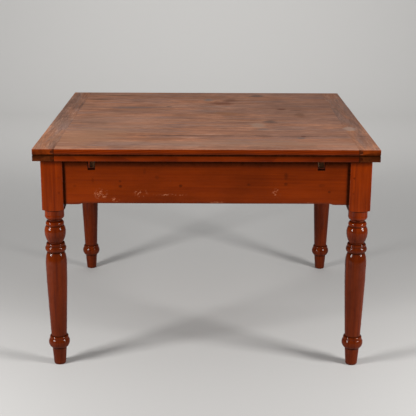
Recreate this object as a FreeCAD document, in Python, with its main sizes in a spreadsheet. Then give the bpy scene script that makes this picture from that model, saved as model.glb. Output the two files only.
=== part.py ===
import FreeCAD, Part
import math
import os
from types import SimpleNamespace

import Sketcher
from FreeCAD import Rotation, Vector

# Draw-leaf dining table. Origin: the floor, under the middle of the top. +X right, +Y back, +Z up.
# A loose top lies on two leaves and a fixed centre board. Each leaf is screwed to two long bearers,
# which slide out through notches in one apron and are held under the centre board.

SIZES = {
    "table_height": (780, "floor to the top's upper face"),
    "top_width": (1140, "top, left to right"),
    "top_depth": (1140, "top, front to back"),
    "board_thick": (20, "top, leaves"),
    "end_width": (72, "breadboard end, across its grain"),
    "tongue_long": (12, "tongue on the end of each board"),
    "tongue_thick": (7, "tongue, a third of the board"),
    "slide_gap": (1.2, "leaf's upper face to the top's underside"),
    "run_gap": (0.3, "leaf's underside to the aprons' upper edges"),
    "leaf_gap": (1, "leaf's inner edge to the centre board"),
    "leaf_depth": (440, "each leaf, front to back"),
    "leaf_board": (147, "the outer two boards of each leaf"),
    "first_board": (217, "front board of the top"),
    "second_board": (303, "second board of the top"),
    "third_board": (320, "third board of the top"),
    "leg_centre": (512, "leg axis to the table's middle, both ways"),
    "block_width": (72, "square head of the leg"),
    "block_bottom": (563, "height where the square head ends"),
    "block_arris": (5, "rounding of the leg's outer corner"),
    "shoulder_rise": (4, "height of the turned shoulder at the block's corners"),
    "apron_thick": (24, "all four aprons"),
    "apron_setback": (7, "leg's outer face to the apron's outer face"),
    "apron_bottom": (585, "height of the aprons' lower edge beside the legs"),
    "apron_relief": (4, "how far the lower edge is cut away between the legs"),
    "relief_start": (50, "leg to the start of the relief"),
    "relief_run": (16, "length of the relief's sloping ends"),
    "tenon_thick": (10, "apron tenons"),
    "tenon_shoulder": (1, "apron's outer face to its tenon"),
    "tenon_long": (36, "front and back aprons"),
    "tenon_stub": (12, "side aprons"),
    "tenon_bottom": (600, "height of the tenons' lower edge"),
    "tenon_top": (716, "height of the tenons' upper edge"),
    "peg_radius": (4, "pegs through the long tenons"),
    "peg_long": (44, "pegs through the long tenons"),
    "peg_inset": (14, "leg's inner face to the pegs"),
    "lower_peg": (627, "height of the lower peg"),
    "upper_peg": (679, "height of the upper peg"),
    "notch_width": (25, "bearer notches in the front and back aprons"),
    "notch_depth": (34.5, "bearer notches in the front and back aprons"),
    "front_notch": (380.5, "middle of the table to the front apron's notches"),
    "back_notch": (352, "middle of the table to the back apron's notches"),
    "bearer_width": (16, "bearers"),
    "bearer_bottom": (709, "height of the bearers' lower edge"),
    "bearer_recess": (12, "apron's outer face to the bearer's outer end"),
    "bearer_reach": (470, "how far the inner end goes past the middle"),
    "bearer_relief": (1.3, "planed off the upper edge that runs under the centre board"),
    "bearer_shift": (1.5, "the front bearers sit right of their notches' middles"),
    "stop_place": (458, "stop dowel past the middle, leaf closed"),
    "stop_radius": (4, "stop dowels"),
    "stop_long": (28, "stop dowels"),
    "stop_height": (722, "height of the stop dowels' axis"),
    "rail_thick": (24, "centre rail"),
    "rail_depth": (80, "centre rail, height of its section"),
    "rail_housing": (10, "how far the rail is let into the side aprons"),
    "rail_notch": (21, "notches in the rail for the bearers"),
    "rail_clear": (2, "bearer's lower edge to the rail notch's floor"),
    "locator_radius": (6, "pegs that locate the loose top"),
    "locator_place": (200, "middle of the table to the locating pegs"),
    "locator_glued": (8, "length of a locating peg inside the top"),
    "locator_long": (38, "locating pegs, whole"),
    "locator_clear": (0.3, "radial clearance of the locating pegs"),
    "locator_hole": (12, "depth of their holes in the rail"),
    "shank_radius": (2.2, "wood screws"),
    "head_radius": (4.2, "wood screws"),
    "head_high": (2.8, "wood screws, countersunk head"),
    "screw_long": (38, "centre board screws"),
    "leaf_screw_long": (34, "leaf screws"),
    "screw_sink": (0.5, "heads below the surface"),
    "slot_width": (1, "screw slots"),
    "slot_depth": (1.2, "screw slots"),
    "bore_radius": (5.5, "counterbores in the bearers for the leaf screws"),
    "bore_depth": (10, "counterbores in the bearers for the leaf screws"),
    "board_screw_place": (95, "front and back of the middle, in the side aprons"),
    "rail_screw_place": (300, "left and right of the middle, in the rail"),
}

# The turned leg below its square head, from the head down: name, radius and height of each point.
# A third number is the radius of the arc to the next point, and the fourth says on which side of
# the line it swells: 1 outwards, -1 inwards.
TURNING = [
    ("collar", 32.6, 563),
    ("collar_edge", 32.6, 543, 13, 1),
    ("upper_neck", 23.5, 527.5),
    ("bead_root", 23.5, 523.5),
    ("bead_top", 25, 522.5, 12, 1),
    ("bead_foot", 29.6, 506.4),
    ("ball_top", 30.2, 505.2, 35.5, 1),
    ("ball_belly", 36, 485, 72.5, 1),
    ("ball_foot", 27, 449),
    ("lower_neck", 26, 448),
    ("fillet_root", 26, 445.6),
    ("fillet_top", 29, 444.8, 8, 1),
    ("fillet_foot", 31.6, 435.6),
    ("roll_top", 31.8, 434.2, 14, 1),
    ("roll_foot", 32.6, 415.2),
    ("groove_top", 29.6, 413.8),
    ("groove_foot", 29.6, 410.4, 60, 1),
    ("shaft_shoulder", 34.4, 394, 160, 1),
    ("shaft_belly", 36, 358),
    ("shaft_upper", 35.2, 305),
    ("shaft_foot", 27, 108),
    ("astragal_top", 28.6, 107, 9, 1),
    ("astragal_foot", 32, 97.4),
    ("ring_top", 32.2, 96, 24.8, 1),
    ("ring_foot", 28, 63),
    ("foot_top", 25, 60),
    ("foot_edge", 20.6, 2.4),
    ("foot_base", 18.8, 0),
]

doc = FreeCAD.newDocument("DrawLeafTable")
sheet = doc.addObject("Spreadsheet::Sheet", "Sizes")
subparts = []


class Size:
    """A length with its value now and the sheet expression that it is bound to."""

    def __init__(self, value, text):
        self.value = value
        self.text = text

    def __add__(self, other):
        other = as_size(other)
        return Size(self.value + other.value, f"({self.text} + {other.text})")

    def __sub__(self, other):
        other = as_size(other)
        return Size(self.value - other.value, f"({self.text} - {other.text})")

    def __mul__(self, factor):
        return Size(self.value * factor, f"({self.text} * {factor})")

    def __truediv__(self, divisor):
        return Size(self.value / divisor, f"({self.text} / {divisor})")

    def __neg__(self):
        return self * -1


def as_size(amount):
    """A Size as it is, or a plain number as one."""
    return amount if isinstance(amount, Size) else Size(amount, str(amount))


def fill_sheet():
    """Writes every driving dimension to the sheet and returns them by name."""
    rows = [(alias, value, note) for alias, (value, note) in SIZES.items()]
    for name, radius, height, *arc in TURNING:
        rows.append((f"{name}_radius", radius, "turned leg, radius"))
        rows.append((f"{name}_height", height, "turned leg, height"))
        if arc:
            rows.append((f"{name}_swell", arc[0], "turned leg, radius of the arc to the next point"))
    named = {}
    for row, (alias, value, note) in enumerate(rows, 1):
        sheet.set(f"A{row}", note)
        sheet.set(f"B{row}", str(value))
        sheet.setAlias(f"B{row}", alias)
        named[alias] = Size(value, f"Sizes.{alias}")
    doc.recompute()
    return SimpleNamespace(**named)


D = fill_sheet()
HALF_WIDTH = D.top_width / 2
HALF_DEPTH = D.top_depth / 2
HALF_BLOCK = D.block_width / 2
TOP_UNDERSIDE = D.table_height - D.board_thick
LEAF_TOP = TOP_UNDERSIDE - D.slide_gap
LEAF_UNDERSIDE = LEAF_TOP - D.board_thick
FRAME_TOP = LEAF_UNDERSIDE - D.run_gap
LEG_FACE = D.leg_centre + HALF_BLOCK
LEG_INNER_FACE = D.leg_centre - HALF_BLOCK
APRON_FACE = LEG_FACE - D.apron_setback
APRON_MIDDLE = APRON_FACE - D.apron_thick / 2
APRON_BACK = APRON_FACE - D.apron_thick
TENON_OFFSET = D.apron_thick / 2 - D.tenon_shoulder - D.tenon_thick / 2
CENTRE_HALF = HALF_DEPTH - D.leaf_depth - D.leaf_gap
SIDES = {"left": -1, "right": 1}
ENDS = {"front": -1, "back": 1}
PAST = 1  # how far a cut runs past the surface it starts from


def bind(target, **properties):
    """Binds each named property to its Size. Double underscores stand for dots."""
    for name, amount in properties.items():
        target.setExpression(name.replace("__", "."), as_size(amount).text)


def move(target, x, y, z):
    """Binds a placement's position."""
    bind(target, Placement__Base__x=x, Placement__Base__y=y, Placement__Base__z=z)


def keep(thing, label):
    """Names a finished sub-part and lists it for export."""
    thing.Label = label
    subparts.append(thing)
    return thing


def box(name, size_x, size_y, size_z, x, y, z):
    """A box from its three sizes and its lowest corner."""
    solid = doc.addObject("Part::Box", name)
    bind(solid, Length=size_x, Width=size_y, Height=size_z)
    move(solid, x, y, z)
    return solid


def rod(name, radius, length, x, y, z, direction=Vector(0, 0, 1)):
    """A cylinder from its start point along a direction."""
    solid = doc.addObject("Part::Cylinder", name)
    bind(solid, Radius=radius, Height=length)
    solid.Placement.Rotation = Rotation(Vector(0, 0, 1), direction)
    move(solid, x, y, z)
    return solid


def cut(name, base, tool):
    """Base less tool."""
    result = doc.addObject("Part::Cut", name)
    result.Base = base
    result.Tool = tool
    return result


def fuse(name, shapes):
    """One solid from several that meet."""
    result = doc.addObject("Part::MultiFuse", name)
    result.Shapes = shapes
    result.Refine = True
    return result


def group(name, shapes):
    """Several separate solids as one object."""
    result = doc.addObject("Part::Compound", name)
    result.Links = shapes
    return result


def lowest(end, near, far):
    """The lower Y of a span given outwards from the middle, for the front (-1) or the back (1)."""
    return near if end > 0 else -far


def lowest_x(side, middle, width):
    """The lower X of a span about a middle that is given outwards, for the left (-1) or right (1)."""
    return middle * side - width / 2


# Sketches


def plane(body, role):
    """One of the body's own origin planes."""
    return next(part for part in body.Origin.OriginFeatures if part.Role == role)


def arc_between(start, finish, radius, swell):
    """The short arc from start to finish, swelling to the right of the way when swell is 1."""
    chord = finish - start
    middle = (start + finish) * 0.5
    rise = radius - math.sqrt(radius**2 - (chord.Length / 2) ** 2)
    right = Vector(chord.y, -chord.x, 0).normalize()
    crown = middle + right * rise * swell
    return Part.Arc(start, crown, finish)


def sketch(body, name, role, offset=0):
    """An empty sketch on one of the body's planes, offset along the plane's normal."""
    drawing = body.newObject("Sketcher::SketchObject", name)
    drawing.AttachmentSupport = (plane(body, role), [""])
    drawing.MapMode = "FlatFace"
    bind(drawing, AttachmentOffset__Base__z=offset)
    return drawing


def pin(drawing, edge, end, label, x, y):
    """Fixes one end of an edge at (x, y) from the sketch's origin, bound to the sheet."""
    for kind, axis, amount in (("DistanceX", "x", x), ("DistanceY", "y", y)):
        amount = as_size(amount)
        name = f"{label}_{axis}"
        index = drawing.addConstraint(Sketcher.Constraint(kind, -1, 1, edge, end, amount.value))
        drawing.renameConstraint(index, name)
        drawing.setExpression(f"Constraints.{name}", amount.text)


def outline(drawing, corners):
    """A closed outline through corners (label, x, y), or (label, x, y, radius, swell) before an arc."""
    ends = []
    for number, corner in enumerate(corners):
        following = corners[(number + 1) % len(corners)]
        start = Vector(as_size(corner[1]).value, as_size(corner[2]).value, 0)
        finish = Vector(as_size(following[1]).value, as_size(following[2]).value, 0)
        if len(corner) == 3:
            drawing.addGeometry(Part.LineSegment(start, finish))
            ends.append((1, 2))
            continue
        radius, swell = corner[3:]
        drawing.addGeometry(arc_between(start, finish, radius.value, swell))
        ends.append((1, 2) if drawing.getPoint(number, 1).isEqual(start, 1e-6) else (2, 1))
        index = drawing.addConstraint(Sketcher.Constraint("Radius", number, radius.value))
        drawing.renameConstraint(index, f"{corner[0]}_swell")
        drawing.setExpression(f"Constraints.{corner[0]}_swell", radius.text)
    for number, corner in enumerate(corners):
        before = (number - 1) % len(corners)
        drawing.addConstraint(
            Sketcher.Constraint("Coincident", before, ends[before][1], number, ends[number][0])
        )
        pin(drawing, number, ends[number][0], corner[0], corner[1], corner[2])
    return drawing



def rectangle(drawing, low_x, low_y, high_x, high_y):
    """A rectangle from its lowest and highest corners."""
    corners = [
        ("low", low_x, low_y),
        ("right", high_x, low_y),
        ("high", high_x, high_y),
        ("left", low_x, high_y),
    ]
    return outline(drawing, corners)


def extrude(body, kind, drawing, length, reverse=False, symmetric=False):
    """Pads or pockets a sketch."""
    feature = body.newObject(f"PartDesign::{kind}", f"{drawing.Name}_{kind.lower()}")
    feature.Profile = drawing
    feature.Reversed = reverse
    feature.SideType = "Symmetric" if symmetric else "One side"
    bind(feature, Length=length)
    drawing.Visibility = False
    return feature


def mirror(body, feature):
    """Repeats a feature on the other side of the body's own YZ plane."""
    copy = body.newObject("PartDesign::Mirrored", f"{feature.Name}_mirror")
    copy.Originals = [feature]
    copy.MirrorPlane = (plane(body, "YZ_Plane"), [""])
    body.Tip = copy
    return copy


# Fasteners


def peg_group(end_name):
    """Four pegs that pass from a leg's face through the tenons of the front or back apron."""
    end = ENDS[end_name]
    inward = Vector(0, -end, 0)
    pegs = []
    for side_name, side in SIDES.items():
        for level, height in (("lower", D.lower_peg), ("upper", D.upper_peg)):
            place_x = (LEG_INNER_FACE + D.peg_inset) * side
            name = f"peg_{end_name}_{side_name}_{level}"
            pegs.append(rod(name, D.peg_radius, D.peg_long, place_x, LEG_FACE * end, height, inward))
    return keep(group(f"pegs_{end_name}", pegs), f"tenon_pegs_{end_name}")


def screw_blank(name, x, y, head_face, length, upward):
    """A countersunk screw without its slot, driven up or down from its head's face."""
    head = doc.addObject("Part::Cone", f"{name}_head")
    wide, narrow = D.head_radius, D.shank_radius
    bind(head, Radius1=wide if upward else narrow, Radius2=narrow if upward else wide)
    bind(head, Height=D.head_high)
    move(head, x, y, head_face if upward else head_face - D.head_high)
    shank_low = head_face + D.head_high if upward else head_face - length
    shank = rod(f"{name}_shank", D.shank_radius, length - D.head_high, x, y, shank_low)
    return fuse(name, [head, shank])


def screws(name, places, head_face, length, upward):
    """A group of screws. Returns the group and the blanks that make their holes."""
    blanks = []
    slots = []
    reach = D.head_radius + PAST
    for number, (x, y) in enumerate(places, 1):
        blanks.append(screw_blank(f"{name}_{number}", x, y, head_face, length, upward))
        slot_low = head_face if upward else head_face - D.slot_depth
        low_x, low_y = x - reach, y - D.slot_width / 2
        slot = (f"{name}_slot_{number}", reach * 2, D.slot_width, D.slot_depth, low_x, low_y, slot_low)
        slots.append(box(*slot))
    holes = group(f"{name}_holes", blanks)
    return keep(cut(f"{name}_slotted", holes, group(f"{name}_slots", slots)), name), holes


# Frame


def square_head(body, side, end):
    """The leg's square head, its outer corner rounded and its lower corners turned off."""
    half, arris = HALF_BLOCK, D.block_arris
    corners = [("inner", -half * side, -half * end), ("across", half * side, -half * end)]
    corners += [("arris_start", half * side, (half - arris) * end, arris, side * end)]
    corners += [("arris_end", (half - arris) * side, half * end), ("along", -half * side, half * end)]
    section = outline(sketch(body, "head_section", "XY_Plane", D.block_bottom), corners)
    extrude(body, "Pad", section, FRAME_TOP - D.block_bottom)
    clear = half * math.sqrt(2) + PAST
    waste = [("start", half, D.block_bottom)]
    waste += [("clear", clear, D.block_bottom), ("rise", clear, D.block_bottom + D.shoulder_rise)]
    shoulder = outline(sketch(body, "shoulder_waste", "XZ_Plane"), waste)
    groove = body.newObject("PartDesign::Groove", "turned_shoulder")
    groove.Profile = shoulder
    groove.ReferenceAxis = (shoulder, ["V_Axis"])


def turned_part(body):
    """Everything below the square head, turned about the leg's axis."""
    corners = [("axis_top", 0, D.block_bottom)]
    for name, _, _, *arc in TURNING:
        corner = (name, getattr(D, f"{name}_radius"), getattr(D, f"{name}_height"))
        if arc:
            corner += (getattr(D, f"{name}_swell"), arc[1])
        corners.append(corner)
    corners.append(("axis_foot", 0, 0))
    profile = outline(sketch(body, "turning", "XZ_Plane"), corners)
    turning = body.newObject("PartDesign::Revolution", "turned_leg")
    turning.Profile = profile
    turning.ReferenceAxis = (profile, ["V_Axis"])


def mortises(body, side, end):
    """The deep mortise for the front or back apron and the shallow one for the side apron."""
    outer = HALF_BLOCK - D.apron_setback - D.tenon_shoulder
    inner = outer - D.tenon_thick
    height = D.tenon_top - D.tenon_bottom
    deep = sketch(body, "deep_mortise", "XY_Plane", D.tenon_bottom)
    rectangle(deep, -HALF_BLOCK * side, inner * end, (D.tenon_long - HALF_BLOCK) * side, outer * end)
    extrude(body, "Pocket", deep, height, reverse=True)
    shallow = sketch(body, "shallow_mortise", "XY_Plane", D.tenon_bottom)
    rectangle(shallow, inner * side, -HALF_BLOCK * end, outer * side, (D.tenon_stub - HALF_BLOCK) * end)
    extrude(body, "Pocket", shallow, height, reverse=True)


def leg(side_name, end_name, pegs):
    """One leg: a square head with two mortises over a turned shaft."""
    side, end = SIDES[side_name], ENDS[end_name]
    body = doc.addObject("PartDesign::Body", f"leg_blank_{end_name}_{side_name}")
    square_head(body, side, end)
    turned_part(body)
    mortises(body, side, end)
    move(body, D.leg_centre * side, D.leg_centre * end, 0)
    return keep(cut(f"leg_{end_name}_{side_name}_cut", body, pegs), f"leg_{end_name}_{side_name}")


def apron(name, tenon, turn, distance, notch=None):
    """An apron lying along the body's own X, its outer face towards -Y, turned into its place."""
    body = doc.addObject("PartDesign::Body", f"{name}_blank")
    end, start = LEG_INNER_FACE, LEG_INNER_FACE - D.relief_start
    low, cleared = D.apron_bottom, D.apron_bottom + D.apron_relief
    slope_end = start - D.relief_run
    corners = [("foot_left", -end, low), ("relief_left", -start, low), ("clear_left", -slope_end, cleared)]
    corners += [("clear_right", slope_end, cleared), ("relief_right", start, low)]
    corners += [("foot_right", end, low), ("top_right", end, FRAME_TOP), ("top_left", -end, FRAME_TOP)]
    face = outline(sketch(body, f"{name}_face", "XZ_Plane"), corners)
    extrude(body, "Pad", face, D.apron_thick, symmetric=True)
    shoulder = sketch(body, f"{name}_tenon", "XZ_Plane", TENON_OFFSET)
    rectangle(shoulder, end, D.tenon_bottom, end + tenon, D.tenon_top)
    mirror(body, extrude(body, "Pad", shoulder, D.tenon_thick, symmetric=True))
    if notch:
        opening = sketch(body, f"{name}_notch", "XZ_Plane")
        low_x = notch - D.notch_width / 2
        rectangle(opening, low_x, FRAME_TOP - D.notch_depth, low_x + D.notch_width, FRAME_TOP + PAST)
        mirror(body, extrude(body, "Pocket", opening, D.apron_thick * 2, symmetric=True))
    body.Placement.Rotation = Rotation(Vector(0, 0, 1), turn)
    outward = Rotation(Vector(0, 0, 1), turn).multVec(Vector(0, -1, 0))
    move(body, distance * round(outward.x), distance * round(outward.y), 0)
    return body


def centre_rail():
    """The rail under the centre board, notched for the four bearers and let into the side aprons."""
    half = APRON_BACK + D.rail_housing
    blank = ("rail_blank", half * 2, D.rail_thick, D.rail_depth)
    blank = box(*blank, -half, -D.rail_thick / 2, FRAME_TOP - D.rail_depth)
    notch_floor = D.bearer_bottom - D.rail_clear
    notches = []
    for end_name in ENDS:
        for side_name in SIDES:
            low_x = bearer_middle(end_name, side_name) - D.rail_notch / 2
            name = f"rail_notch_{end_name}_{side_name}"
            sizes = (D.rail_notch, D.rail_thick * 2, D.notch_depth)
            notches.append(box(name, *sizes, low_x, -D.rail_thick, notch_floor))
    for side_name, side in SIDES.items():
        radius = D.locator_radius + D.locator_clear
        low = FRAME_TOP - D.locator_hole
        place_x = D.locator_place * side
        notches.append(rod(f"rail_hole_{side_name}", radius, D.locator_hole + PAST, place_x, 0, low))
    return blank, cut("rail_notched", blank, group("rail_notches", notches))


def centre_board():
    """The fixed board between the leaves, drilled for the top's locating pegs."""
    blank = ("centre_blank", D.top_width, CENTRE_HALF * 2, TOP_UNDERSIDE - FRAME_TOP)
    blank = box(*blank, -HALF_WIDTH, -CENTRE_HALF, FRAME_TOP)
    radius = D.locator_radius + D.locator_clear
    length, low = TOP_UNDERSIDE - FRAME_TOP + PAST * 2, FRAME_TOP - PAST
    holes = [
        rod(f"board_hole_{name}", radius, length, D.locator_place * side, 0, low)
        for name, side in SIDES.items()
    ]
    return cut("centre_drilled", blank, group("board_holes", holes))


def frame():
    """Legs, aprons, centre rail, centre board and their pegs and screws."""
    pegs = {end_name: peg_group(end_name) for end_name in ENDS}
    for end_name in ENDS:
        for side_name in SIDES:
            leg(side_name, end_name, pegs[end_name])
    places = [(APRON_MIDDLE * side, D.board_screw_place * end) for side in (-1, 1) for end in (-1, 1)]
    places += [(D.rail_screw_place * side, as_size(0)) for side in (-1, 1)]
    head_face = TOP_UNDERSIDE - D.screw_sink
    holes = screws("centre_board_screws", places, head_face, D.screw_long, upward=False)[1]
    rail_blank, rail = centre_rail()
    for name, turn, notch in (("front", 0, D.front_notch), ("back", 180, D.back_notch)):
        board = apron(f"apron_{name}", D.tenon_long, turn, APRON_MIDDLE, notch)
        keep(cut(f"apron_{name}_pegged", board, pegs[name]), f"apron_{name}")
    for name, turn in (("left", -90), ("right", 90)):
        board = apron(f"apron_{name}", D.tenon_stub, turn, APRON_MIDDLE)
        housed = cut(f"apron_{name}_housed", board, rail_blank)
        keep(cut(f"apron_{name}_drilled", housed, holes), f"apron_{name}")
    keep(cut("rail_drilled", rail, holes), "centre_rail")
    keep(cut("centre_board_drilled", centre_board(), holes), "centre_board")


# Boards


def board(name, low_y, depth, low_z, holes=None):
    """One board of the top or a leaf, with a tongue along each end."""
    half = HALF_WIDTH - D.end_width
    tongue_low = low_z + (D.board_thick - D.tongue_thick) / 2
    reach = half + D.tongue_long
    solid = box(f"{name}_board", half * 2, depth, D.board_thick, -half, low_y, low_z)
    tongue = box(f"{name}_tongue", reach * 2, depth, D.tongue_thick, -reach, low_y, tongue_low)
    whole = fuse(f"{name}_tongued", [solid, tongue])
    return keep(cut(f"{name}_drilled", whole, holes) if holes else whole, name)


def breadboard_end(name, side, low_y, depth, low_z):
    """The piece across the boards' ends, grooved for their tongues."""
    groove_low = low_z + (D.board_thick - D.tongue_thick) / 2
    low_x = lowest_x(side, HALF_WIDTH - D.end_width / 2, D.end_width)
    groove_x = lowest_x(side, HALF_WIDTH - D.end_width + D.tongue_long / 2, D.tongue_long)
    solid = box(f"{name}_blank", D.end_width, depth, D.board_thick, low_x, low_y, low_z)
    groove = box(f"{name}_groove", D.tongue_long, depth, D.tongue_thick, groove_x, low_y, groove_low)
    return keep(cut(f"{name}_grooved", solid, groove), name)


def top():
    """The loose top: four boards, two breadboard ends and two locating pegs."""
    locators = [
        rod(
            f"locator_{name}", D.locator_radius, D.locator_long,
            D.locator_place * side, 0, TOP_UNDERSIDE + D.locator_glued - D.locator_long,
        )
        for name, side in SIDES.items()
    ]
    pegs = keep(group("locators", locators), "top_locating_pegs")
    low_y = -HALF_DEPTH
    for number, depth in enumerate((D.first_board, D.second_board, D.third_board), 1):
        holes = pegs if low_y.value < 0 < low_y.value + depth.value else None
        board(f"top_board_{number}", low_y, depth, TOP_UNDERSIDE, holes)
        low_y = low_y + depth
    board("top_board_4", low_y, HALF_DEPTH - low_y, TOP_UNDERSIDE)
    for name, side in SIDES.items():
        breadboard_end(f"top_end_{name}", side, -HALF_DEPTH, D.top_depth, TOP_UNDERSIDE)


# Leaves


def bearer_middle(end_name, side_name):
    """X of a bearer's middle. The front leaf's bearers sit a little right in their notches."""
    if end_name == "front":
        return D.front_notch * SIDES[side_name] + D.bearer_shift
    return D.back_notch * SIDES[side_name]


def bearer(end_name, side_name, holes, stops):
    """A long bearer, its upper edge planed down where it runs under the centre board."""
    end = ENDS[end_name]
    name = f"{end_name}_bearer_{side_name}"
    low_x = bearer_middle(end_name, side_name) - D.bearer_width / 2
    outer = APRON_FACE - D.bearer_recess
    leaf_inner = HALF_DEPTH - D.leaf_depth
    low_y = lowest(end, -D.bearer_reach, outer)
    size = (D.bearer_width, outer + D.bearer_reach, LEAF_UNDERSIDE - D.bearer_bottom)
    blank = box(f"{name}_blank", *size, low_x, low_y, D.bearer_bottom)
    relief_y = lowest(end, -D.bearer_reach, leaf_inner)
    relief_size = (D.bearer_width, leaf_inner + D.bearer_reach, D.bearer_relief)
    relief = box(f"{name}_relief", *relief_size, low_x, relief_y, LEAF_UNDERSIDE - D.bearer_relief)
    waste = group(f"{name}_waste", [relief, *holes, stops])
    return keep(cut(f"{name}_worked", blank, waste), name)


def leaf_screw_places(end_name):
    """Where the leaf's screws go: up through each bearer into each board it carries."""
    end = ENDS[end_name]
    bearer_end = APRON_FACE - D.bearer_recess
    spots = ((bearer_end + HALF_DEPTH - D.leaf_board) / 2,)
    spots += (HALF_DEPTH - D.leaf_board * 1.5, HALF_DEPTH - D.leaf_board * 2.5)
    return [(bearer_middle(end_name, side), spot * end) for side in SIDES for spot in spots]


def leaf(end_name):
    """A leaf: three boards, two breadboard ends, and two bearers with their screws and stops."""
    end = ENDS[end_name]
    places = leaf_screw_places(end_name)
    head_face = D.bearer_bottom + D.bore_depth
    holes = screws(f"{end_name}_leaf_screws", places, head_face, D.leaf_screw_long, upward=True)[1]
    bores = [
        rod(f"{end_name}_bore_{number}", D.bore_radius, D.bore_depth, x, y, D.bearer_bottom)
        for number, (x, y) in enumerate(places, 1)
    ]
    stops = [
        rod(
            f"{end_name}_stop_{side_name}", D.stop_radius, D.stop_long,
            bearer_middle(end_name, side_name) - D.stop_long / 2, D.stop_place * -end, D.stop_height,
            Vector(1, 0, 0),
        )
        for side_name in SIDES
    ]
    stops = keep(group(f"{end_name}_stops", stops), f"{end_name}_stop_dowels")
    bore_group = group(f"{end_name}_bores", bores)
    for side_name in SIDES:
        bearer(end_name, side_name, [holes, bore_group], stops)
    far = HALF_DEPTH
    for number in (1, 2):
        near = far - D.leaf_board
        low_y = lowest(end, near, far)
        board(f"{end_name}_leaf_board_{number}", low_y, D.leaf_board, LEAF_UNDERSIDE, holes)
        far = near
    leaf_inner = HALF_DEPTH - D.leaf_depth
    low_y = lowest(end, leaf_inner, far)
    board(f"{end_name}_leaf_board_3", low_y, far - leaf_inner, LEAF_UNDERSIDE, holes)
    low_y = lowest(end, leaf_inner, HALF_DEPTH)
    for side_name, side in SIDES.items():
        breadboard_end(f"{end_name}_leaf_end_{side_name}", side, low_y, D.leaf_depth, LEAF_UNDERSIDE)


def check_and_export():
    """Stops on a failed object or a bad shape, then writes each sub-part."""
    failed = [thing.Name for thing in doc.Objects if {"Invalid", "Error"} & set(thing.State)]
    if failed:
        raise SystemExit(f"failed objects: {failed}")
    os.makedirs("parts", exist_ok=True)
    for thing in subparts:
        shape = thing.Shape
        if shape.isNull() or not shape.isValid() or not shape.Solids:
            raise SystemExit(f"{thing.Label} has a bad shape")
        shape.exportStep(f"parts/{thing.Label}.step")
        print(f"{thing.Label}: {len(shape.Solids)} solid(s), {shape.Volume / 1000:.1f} cm3")


frame()
top()
for leaf_end in ENDS:
    leaf(leaf_end)
doc.recompute()
check_and_export()
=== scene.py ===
import math
import random

import bmesh
import bpy
from mathutils import Matrix, Vector, noise


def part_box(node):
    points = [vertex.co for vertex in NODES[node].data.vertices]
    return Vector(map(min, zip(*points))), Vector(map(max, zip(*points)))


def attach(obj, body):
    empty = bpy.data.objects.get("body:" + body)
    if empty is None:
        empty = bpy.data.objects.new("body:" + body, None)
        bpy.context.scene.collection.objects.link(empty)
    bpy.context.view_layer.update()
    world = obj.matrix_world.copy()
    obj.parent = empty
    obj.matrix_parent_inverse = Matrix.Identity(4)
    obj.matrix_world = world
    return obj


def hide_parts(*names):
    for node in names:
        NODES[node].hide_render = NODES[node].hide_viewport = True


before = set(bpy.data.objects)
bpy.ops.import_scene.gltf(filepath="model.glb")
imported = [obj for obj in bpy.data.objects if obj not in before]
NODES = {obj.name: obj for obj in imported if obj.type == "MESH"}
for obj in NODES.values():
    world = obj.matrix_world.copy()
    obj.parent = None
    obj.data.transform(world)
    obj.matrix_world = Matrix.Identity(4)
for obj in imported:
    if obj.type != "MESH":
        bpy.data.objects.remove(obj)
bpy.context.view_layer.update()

# A draw-leaf dining table of varnished softwood. Metres, Z up, the table's front towards -Y.
# Boards, aprons and legs are swept meshes with worn arrises, set in the space of their CAD nodes.

MM = 0.001
FINE = 1.0


# Camera, lights and floor

CAMERA_PLACE = Vector((-0.006, -3.782, 1.491))
PITCH, YAW, ROLL = 0.2757, -0.0036, 0.0041  # radians, from level and straight ahead
LENS, SENSOR = 87.25, 36
LAMP_TARGET = Vector((0, -0.2, 0.45))
LAMPS = {
    # place, width, height, watts, what it is aimed at
    "softbox_left": ((-2.35, -1.72, 1.32), 0.75, 1.00, 98, LAMP_TARGET),
    "softbox_right": ((2.30, -1.50, 1.36), 0.70, 0.90, 80, LAMP_TARGET),
    "background_light": ((0, 2.9, 3.3), 6.0, 1.6, 135, Vector((0, 5.6, 0.6))),
}
SURROUND = (0.80, 0.82, 0.85, 1)
SURROUND_STRENGTH = 0.22
FLOOR_COLOUR = (0.50, 0.49, 0.475)
FLOOR_REACH = 9.0  # to each side and to the front
FLOOR_DROP = 0.5 * MM  # keeps it clear of the feet
BEND_START = 4.2  # where the floor begins to curve up
BEND_RADIUS = 1.6
BEND_STEPS = 24
BACKDROP_TOP = 4.5


def add_camera():
    """A camera before the table and a little above it, with colours shown as they are."""
    bpy.context.scene.view_settings.view_transform = "Standard"
    data = bpy.data.cameras.new("camera")
    data.lens = LENS
    data.sensor_width = SENSOR
    camera = bpy.data.objects.new("camera", data)
    bpy.context.scene.collection.objects.link(camera)
    turn = Matrix.Rotation(YAW, 4, "Z") @ Matrix.Rotation(math.pi / 2 - PITCH, 4, "X")
    camera.matrix_world = Matrix.Translation(CAMERA_PLACE) @ turn @ Matrix.Rotation(ROLL, 4, "Z")
    bpy.context.scene.camera = camera


def softbox(name, place, width, height, watts, target):
    """A rectangular area light, aimed at its target."""
    data = bpy.data.lights.new(name, "AREA")
    data.shape = "RECTANGLE"
    data.size = width
    data.size_y = height
    data.energy = watts
    lamp = bpy.data.objects.new(name, data)
    bpy.context.scene.collection.objects.link(lamp)
    lamp.location = place
    lamp.rotation_euler = (target - Vector(place)).to_track_quat("-Z", "Y").to_euler()


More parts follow.
